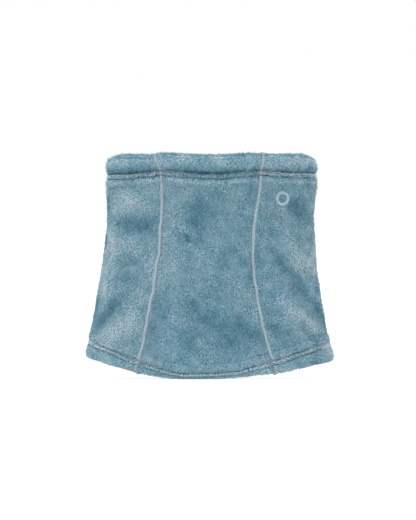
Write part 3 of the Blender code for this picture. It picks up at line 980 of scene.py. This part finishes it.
def build_panels(places):
    ground, pile = ground_material(), pile_material()
    middle_rows = rows_at(places, 0.0)
    for number, (name, columns) in enumerate(COLUMNS.items()):
        angles = panel_angles(name, middle_rows, columns)
        speed = around_speed(angles, row_heights(angles[:, 0], middle_rows)[:, None])
        to_edge = np.minimum(angles - angles[:, :1], angles[:, -1:] - angles) * speed
        valley = SEAM_VALLEY * bell(to_edge, SEAM_VALLEY_WIDTH)
        # The ground's tone: painted shade deep in the pile and in the stitch grooves.
        painted_line_shade = GROUND_LINE_PAINTED_SHADE * needle_nearness(places)[:, None]
        turned = GROUND_TURNED_LIFT * (places[:, 2] == TURNED)[:, None]
        shade = [GROUND_PAINTED_SHADE + turned - painted_line_shade + 0.0 * angles, PLAIN_SHADE + 0.0 * angles]
        faces = []
        for offset in (PILE_FACE, PLAIN_FACE):
            grid = lay(angles, rows_at(places, offset))
            normal = unit(np.cross(np.gradient(grid, axis=1), np.gradient(grid, axis=0)))
            grid = grid - normal * valley[..., None]
            grid[..., 2] = np.maximum(grid[..., 2], LOWEST)
            faces.append(grid)
        sheet = make_object(name + "_fleece", np.stack(faces),
                            sheet_faces(len(places), columns + 1), ground, np.stack(shade))
        dress(sheet, "fleece", name + "_panel")
        tufts = grow_pile(name, faces[0], places, pile, FIRST_SEED + number)
        for piece in tufts:
            dress(piece, "fleece", name + "_panel")
        width, length, area = flat_size(name, places)


SEAM_HALF_WIDTH = 0.0015
SEAM_HALF_HEIGHT = 0.0009
SEAM_CENTRE_LIFT = -0.0001
SEAM_PINCH = 0.42
SEAM_PINCH_WIDTH = 0.0016
SEAM_WOBBLES = ((0.07, 0.006, 61, 1.0),)
SEAM_STRAYS = ((0.00018, 0.014, 62, 1.0),)
SMALL_ANGLE = 0.01
RUNG_PITCH = 0.00085
RUNG_RADIUS = 0.00036
RUNG_SLANT = 0.0005
RUNG_POINTS = 7
RUNG_SWEEP = 1.45


def seam_places(path, outward, pitch):
    """Evenly spaced places on a path, as row numbers, with the point, way out and way along."""
    total = runs_along(path)
    where = np.interp(np.arange(pitch, total[-1] - pitch, pitch), total, np.arange(len(path)))
    tangent = unit(blend_rows(np.gradient(path, axis=0), where))
    return where, blend_rows(path, where), unit(blend_rows(outward, where)), tangent


def needle_nearness(places):
    """1 where a stitch line crosses, so that the seam is pinched there."""
    zone, along, bend = places.T
    near = np.zeros(len(places))
    for code in HEMS:
        here = (zone == code) & (bend == OUTER)
        for needle in NEEDLES[code]:
            near = np.where(here, np.maximum(near, bell(along - needle, SEAM_PINCH_WIDTH)), near)
    return near


def seam_path(side, face, places, offset):
    """A seam's line on a face of the cloth, with the way out from the cloth."""
    angle = seam_angle(side, face, rows_at(places, 0.0))
    rows = rows_at(places, offset)
    path = lay(angle, rows)
    beside = lay(angle + SMALL_ANGLE, rows)
    outward = unit(np.cross(beside - path, np.gradient(path, axis=0)))
    return path, outward


def build_seams(places):
    cord_material = thread_material("seam_cord", LIGHT_THREAD, 0.70, 0.07)
    rung_material = thread_material("seam_thread", LIGHT_THREAD, 0.55, 0.10)
    fuzz_material = thread_material("seam_fuzz", FUZZ_THREAD, 0.80, 0.12)
    pinch = 1.0 - SEAM_PINCH * needle_nearness(places)
    for side, face in SEAMS:
        name = f"{face}_{side}_seam"
        path, outward = seam_path(side, face, places, CLOTH / 2.0 + SEAM_CENTRE_LIFT)
        path, outward = path[2:-2], outward[2:-2]
        squeeze = pinch[2:-2] * (1.0 + mixed_waves(path, SEAM_WOBBLES))
        across = unit(np.cross(outward, np.gradient(path, axis=0)))
        path = path + across * mixed_waves(path, SEAM_STRAYS)[:, None]
        cord = tubes(name + "_cord", path[None], outward[None], cord_material,
                     SEAM_HALF_WIDTH * squeeze, SEAM_HALF_HEIGHT * squeeze, 10)
        threads = build_rungs(name + "_threads", path, outward, squeeze, rung_material)
        fuzz = build_fuzz(name + "_fuzz", path, outward, squeeze, fuzz_material)
        for piece in (cord, threads, fuzz):
            dress(piece, "seam_thread", name + "_cover")
        build_overlock(side, face, places, rung_material)


def build_rungs(name, path, outward, squeeze, material):
    """Covering threads wrapped over the cord, one after another, each a little slanted."""
    where, centre, lift, tangent = seam_places(path, outward, RUNG_PITCH)
    size = blend_rows(squeeze[:, None], where)[:, :, None]
    side = np.cross(tangent, lift)
    sweep = np.linspace(-RUNG_SWEEP, RUNG_SWEEP, RUNG_POINTS)[None, :, None]
    paths = (centre[:, None]
             + side[:, None] * np.sin(sweep) * SEAM_HALF_WIDTH * size
             + lift[:, None] * np.cos(sweep) * SEAM_HALF_HEIGHT * size
             + tangent[:, None] * sweep / RUNG_SWEEP * RUNG_SLANT)
    outwards = side[:, None] * np.sin(sweep) + lift[:, None] * np.cos(sweep)
    return tubes(name, paths, outwards, material, RUNG_RADIUS)


FUZZ_PITCH = 0.00009
FUZZ_LENGTH = (0.0013, 0.0026)
FUZZ_SPREAD = 0.0012
FUZZ_FARTHEST = 1.9
FUZZ_HALF_WIDTH = (0.00022, 0.00040)
FUZZ_SWAY = 0.6
FUZZ_SPLAY = 0.35
FUZZ_FLOOR = 0.0002
FUZZ_ROOT_DEPTH = 0.0003
FUZZ_BEND = 0.4
FUZZ_BEND_RISE = 0.0004
FUZZ_TIP_RISE = 0.0001


def build_fuzz(name, path, outward, squeeze, material):
    """Pale pile caught in a seam's covering threads, so that the ridge is soft at its edges."""
    rng = np.random.default_rng(sum(name.encode()))
    where, centre, lift, upward = seam_places(path, outward, FUZZ_PITCH)
    down = -upward
    size = blend_rows(squeeze[:, None], where)
    side = np.cross(down, lift)
    offset = np.clip(rng.normal(size=(len(where), 1)), -FUZZ_FARTHEST, FUZZ_FARTHEST)
    turn = FUZZ_SWAY * rng.normal(size=(len(where), 1)) - FUZZ_SPLAY * offset
    lean = down * np.cos(turn) + side * np.sin(turn)
    across = np.cross(lean, lift)
    length = rng.uniform(*FUZZ_LENGTH, (len(where), 1))
    half = rng.uniform(*FUZZ_HALF_WIDTH, (len(where), 1))
    aside = offset * FUZZ_SPREAD * size
    share = aside / (SEAM_HALF_WIDTH * size)
    height = SEAM_HALF_HEIGHT * size * np.sqrt(np.maximum(1.0 - share ** 2, 0.0))
    start = centre + side * aside + lift * np.maximum(height, FUZZ_FLOOR)
    root = start - lift * FUZZ_ROOT_DEPTH
    mid = start + lean * length * FUZZ_BEND + lift * FUZZ_BEND_RISE
    tip = start + lean * length + lift * FUZZ_TIP_RISE
    points, faces = tuft_mesh(root, mid, tip, across, half)
    return make_object(name, points, faces, material)


INNER_RADIUS = 0.00034
INNER_LIFT = 0.0005
OVERLOCK_REACH = 0.0017
OVERLOCK_PITCH = 0.0022
OVERLOCK_RISE = 0.6


def build_overlock(side, face, places, material):
    """The zigzag threads that show on the inside of a seam."""
    zone, _, bend = places.T
    inside = places[(zone == BODY_ZONE) & (bend == OUTER)]
    path, outward = seam_path(side, face, inside, PLAIN_FACE - INNER_LIFT)
    _, centre, lift, _ = seam_places(path, outward, OVERLOCK_PITCH / 4.0)
    side_way = unit(np.cross(np.gradient(centre, axis=0), lift))
    beat = np.arange(len(centre)) * math.pi / 2.0
    strands = []
    for phase in (0.0, math.pi):
        swing = np.sin(beat + math.pi / 4.0 + phase)[:, None]
        rise = np.cos(beat + phase)[:, None]
        strands.append(centre + side_way * swing * OVERLOCK_REACH
                       + lift * rise * INNER_RADIUS * OVERLOCK_RISE)
    name = f"{face}_{side}_inner_seam"
    threads = tubes(name + "_overlock", np.stack(strands), lift, material, INNER_RADIUS)
    dress(threads, "seam_thread", name + "_thread")


STITCH_PITCH = 0.0030
STITCH_LENGTH = 0.0025
STITCH_POINTS = 7
STITCH_RADIUS = 0.00040
STITCH_RISE = 0.0002
STITCH_SINK = 0.0012
CROSSING_RISE = 0.0013
CROSSING_WIDTH = 0.0022
LOOPER_PITCH = 0.0030
LOOPER_RISE = 0.0004
LOOPER_POINTS = 8
LOOPER_SWING = 0.42
LOOPER_WAVE = 0.5


def hem_row(zone, along, bend, offset):
    return rows_at(np.array([[zone, along, bend]]), offset)[0]


def repeat(row, count):
    return np.tile(row, (count, 1))


def walk(row):
    """Distance round the tube along a row, at fine steps of angle."""
    fine = np.linspace(-math.pi, math.pi, WALK_STEPS + 1)
    return runs_along(lay(fine, repeat(row, len(fine)))), fine


def build_needle_line(name, zone, along, material):
    """A line of straight stitches, each dipping into the cloth at both ends."""
    row = hem_row(zone, along, OUTER, PILE_FACE)
    total, fine = walk(row)
    count = round(total[-1] / STITCH_PITCH)
    middle = (np.arange(count) + 0.5) * total[-1] / count
    share = np.linspace(-1.0, 1.0, STITCH_POINTS)
    angle = np.interp(middle[:, None] + share * STITCH_LENGTH / 2.0, total, fine)
    rows = repeat(row, angle.size)
    height = lay(angle.ravel(), rows)[:, 2]
    speed = around_speed(angle, height.reshape(angle.shape))
    crossing = sum(bell(wrapped(angle - seam_angle(*seam, row[None])) * speed, CROSSING_WIDTH)
                   for seam in SEAMS)
    arch = STITCH_RISE - STITCH_SINK * np.abs(share) ** 3 + CROSSING_RISE * crossing
    rows[:, 2] -= arch.ravel()
    paths = lay(angle.ravel(), rows).reshape(*angle.shape, 3)
    rows[:, 2] -= MM
    outward = unit(lay(angle.ravel(), rows).reshape(paths.shape) - paths)
    return tubes(name, paths, outward, material, STITCH_RADIUS, sides=6)


def build_looper(name, zone, band, material):
    """Two threads that loop from side to side over the raw edge, inside the hem."""
    low, high = band
    row = hem_row(zone, (low + high) / 2.0, TURNED, PILE_FACE + LOOPER_RISE)
    total, fine = walk(row)
    steps = round(total[-1] * LOOPER_POINTS / LOOPER_PITCH)
    angles = np.interp(np.linspace(0.0, total[-1], steps + 1), total, fine)
    turns = round(len(angles) / LOOPER_POINTS)
    strands = []
    for phase in (0.0, math.pi):
        beat = np.linspace(0.0, math.tau * turns, len(angles)) + phase
        rows = repeat(row, len(angles))
        rows[:, 1] += np.sin(beat) * (high - low) * LOOPER_SWING
        rows[:, 2] += np.cos(2.0 * beat) * INNER_RADIUS * LOOPER_WAVE
        strands.append(lay(angles, rows))
    outward = np.stack([-np.sin(angles), np.cos(angles), 0.0 * angles], axis=1)
    return tubes(name, np.stack(strands), outward, material, INNER_RADIUS)


def build_hems():
    # The needle thread carries painted shade of the stitch grooves.
    material = thread_material("hem_thread", HEM_THREAD_WITH_PAINTED_SHADE, 0.60, 0.15)
    looped = thread_material("looper_thread", LOOPER_THREAD, 0.60, 0.15)
    for code, zone in HEMS.items():
        for place, along in zip(("lower", "upper"), NEEDLES[code]):
            name = f"{zone}_hem_{place}"
            line = build_needle_line(name + "_stitches", code, along, material)
            dress(line, "hem_thread", name + "_needle_thread")
        name = f"{zone}_hem_looper"
        loops = build_looper(name + "_loops", code, LOOPER_BANDS[code], looped)
        dress(loops, "hem_thread", name + "_thread")


def ring_points(radius, turn, lift):
    """Points round the ring's middle, at a lift above the cloth."""
    height = RING_HEIGHT + radius * np.sin(turn)
    across = RING_ACROSS + RING_SQUEEZE * radius * np.cos(turn)
    angle = np.arcsin((across - np.interp(height, *LEAN)) / half_sizes(height)[0])
    return at_height(angle, height, -lift)


def build_ring():
    """A plain satin-stitched ring: a padded core with threads laid across it."""
    lifted = ring_points(np.zeros(1), np.zeros(1), MM)[0]
    outward = unit(lifted - ring_points(np.zeros(1), np.zeros(1), 0.0)[0])
    turn = np.linspace(0.0, math.tau, RING_POINTS + 1)
    core = ring_points(RING_RADIUS, turn, RING_LIFT)
    padding = tubes("embroidered_ring_padding", core[None], outward,
                    thread_material("ring_padding", RING_THREAD, 0.75, 0.05),
                    RING_HALF_WIDTH, RING_HALF_HEIGHT, 10)
    turn = np.linspace(0.0, math.tau, RING_STITCHES, endpoint=False)
    sweep = np.linspace(-SATIN_SWEEP, SATIN_SWEEP, RUNG_POINTS)
    across = RING_RADIUS + RING_HALF_WIDTH * SATIN_REACH * np.sin(sweep)
    lift = RING_LIFT + SATIN_RISE * np.cos(sweep)
    paths = ring_points(across, turn[:, None] + SATIN_SLANT * np.sin(sweep), lift)
    satin = tubes("embroidered_ring_satin", paths, outward,
                  thread_material("ring_thread", RING_THREAD, 0.45, 0.08), SATIN_RADIUS)
    for piece in (padding, satin):
        dress(piece, "embroidery", "embroidered_ring")


LABEL_WIDTH = 0.0280
LABEL_TOP = 0.0293
LABEL_LENGTH = 0.0400
LABEL_THICK = 0.0006
LABEL_DEPTH = 0.0040
LABEL_CURL = 0.0016
LABEL_CURL_MIDDLE = 0.4
SEW_COUNT = 8
SEW_REACH = 0.82
SEW_HALF = 0.075
SEW_DROP = 0.0030
SEW_RISE = 0.0003
SEW_SINK = 0.0008
SEW_RADIUS = 0.00028


def build_label():
    """A blank woven tape, sewn on at its top and a little curled at its foot."""
    columns, rows = 14, 20
    share = np.linspace(-1.0, 1.0, columns + 1)
    fall = np.linspace(0.0, 1.0, rows + 1)[:, None]
    half_angle = LABEL_WIDTH / 2.0 / WAIST_HALF_WIDTH
    top = RIM_HEIGHT - RIM_DIP_BACK - LABEL_TOP
    angle = math.pi + share * half_angle + 0.0 * fall
    height = top - LABEL_LENGTH * fall + 0.0 * angle
    curl = LABEL_CURL_MIDDLE + (1.0 - LABEL_CURL_MIDDLE) * share ** 2
    depth = LABEL_DEPTH + LABEL_CURL * fall ** 2 * curl
    faces = [at_height(angle, height, depth + step) for step in (LABEL_THICK, 0.0)]
    tape = make_object("care_label_tape", np.stack(faces), sheet_faces(rows + 1, columns + 1),
                       label_material())
    dress(tape, "label", "care_label")
    share = np.linspace(-1.0, 1.0, 5)
    middle = np.linspace(-SEW_REACH, SEW_REACH, SEW_COUNT)[:, None]
    angle = math.pi + (middle + SEW_HALF * share) * half_angle
    height = np.full(angle.shape, top - SEW_DROP)
    rise = LABEL_THICK + SEW_RISE - SEW_SINK * share ** 4
    sewing = tubes("care_label_stitches", at_height(angle, height, LABEL_DEPTH + rise),
                   (0.0, -1.0, 0.0), thread_material("label_thread", LIGHT_THREAD, 0.6, 0.08),
                   SEW_RADIUS)
    dress(sewing, "label")


# ---- studio

CAMERA_DISTANCE = 16.0
CAMERA_ELEVATION = math.radians(0.45)
CAMERA_TARGET = Vector((-0.00165, 0.0, 0.1303))
FRAME_HEIGHT = 0.5720
SENSOR = 36.0
FLOOR_HALF = 60.0
FLOOR_GLOW = 0.80


def add_sun(name, azimuth, elevation, strength, spread):
    """A soft sun. Azimuth 0 shines from the front and grows towards +X."""
    data = bpy.data.lights.new(name, "SUN")
    data.energy = strength
    data.angle = math.radians(spread)
    side, lift = math.radians(azimuth), math.radians(elevation)
    towards = Vector((math.sin(side) * math.cos(lift), -math.cos(side) * math.cos(lift),
                      math.sin(lift)))
    add_to_scene(name, data).rotation_euler = towards.to_track_quat("Z", "Y").to_euler()


def build_world():
    """White at the horizon and dimmer overhead, all round alike."""
    world = bpy.data.worlds.new("studio")
    world.use_nodes = True
    nodes = Nodes(world.node_tree)
    where = nodes.add("ShaderNodeTexCoord").outputs["Generated"]
    height = nodes.add("ShaderNodeSeparateXYZ", {"Vector": where}).outputs["Z"]
    colour = nodes.ramp(height, ((0.14, (1.0, 1.0, 1.0)), (0.30, (0.56, 0.57, 0.59))))
    shine = nodes.add("ShaderNodeBackground", {"Color": colour, "Strength": 1.0})
    nodes.add("ShaderNodeOutputWorld", {"Surface": shine.outputs[0]})
    bpy.context.scene.world = world


def build_floor():
    material, nodes = new_material("studio_floor")
    grain = nodes.noise(3.0)
    colour = nodes.ramp(grain, ((0.0, (0.33, 0.33, 0.33)), (1.0, (0.35, 0.35, 0.35))))
    nodes.finish(colour, 0.9, 0.0, {"Emission Color": (1.0, 1.0, 1.0, 1.0),
                                    "Emission Strength": FLOOR_GLOW})
    corner = FLOOR_HALF * np.array(((-1, -1, 0), (1, -1, 0), (1, 1, 0), (-1, 1, 0)))
    floor = make_object("floor", corner, [np.array(((0, 1, 2, 3),))], material)


def build_camera():
    data = bpy.data.cameras.new("camera")
    data.sensor_width = SENSOR
    data.lens = SENSOR * CAMERA_DISTANCE / FRAME_HEIGHT
    camera = add_to_scene("camera", data)
    back = Vector((0.0, -math.cos(CAMERA_ELEVATION), math.sin(CAMERA_ELEVATION)))
    camera.location = CAMERA_TARGET + back * CAMERA_DISTANCE
    camera.rotation_euler = back.to_track_quat("Z", "Y").to_euler()
    bpy.context.scene.camera = camera


def build_studio():
    build_world()
    build_floor()
    build_camera()
    add_sun("key", -14.0, 62.0, 2.42, 50.0)
    add_sun("fill", 25.0, 20.0, 0.4, 90.0)
    add_sun("left_edge", -100.0, 20.0, 0.9, 60.0)
    add_sun("right_edge", 100.0, 20.0, 0.5, 60.0)
    bpy.context.scene.view_settings.view_transform = "Standard"


def main():
    places = stations()
    build_panels(places)
    build_seams(places)
    build_hems()
    build_ring()
    build_label()
    build_studio()


main()
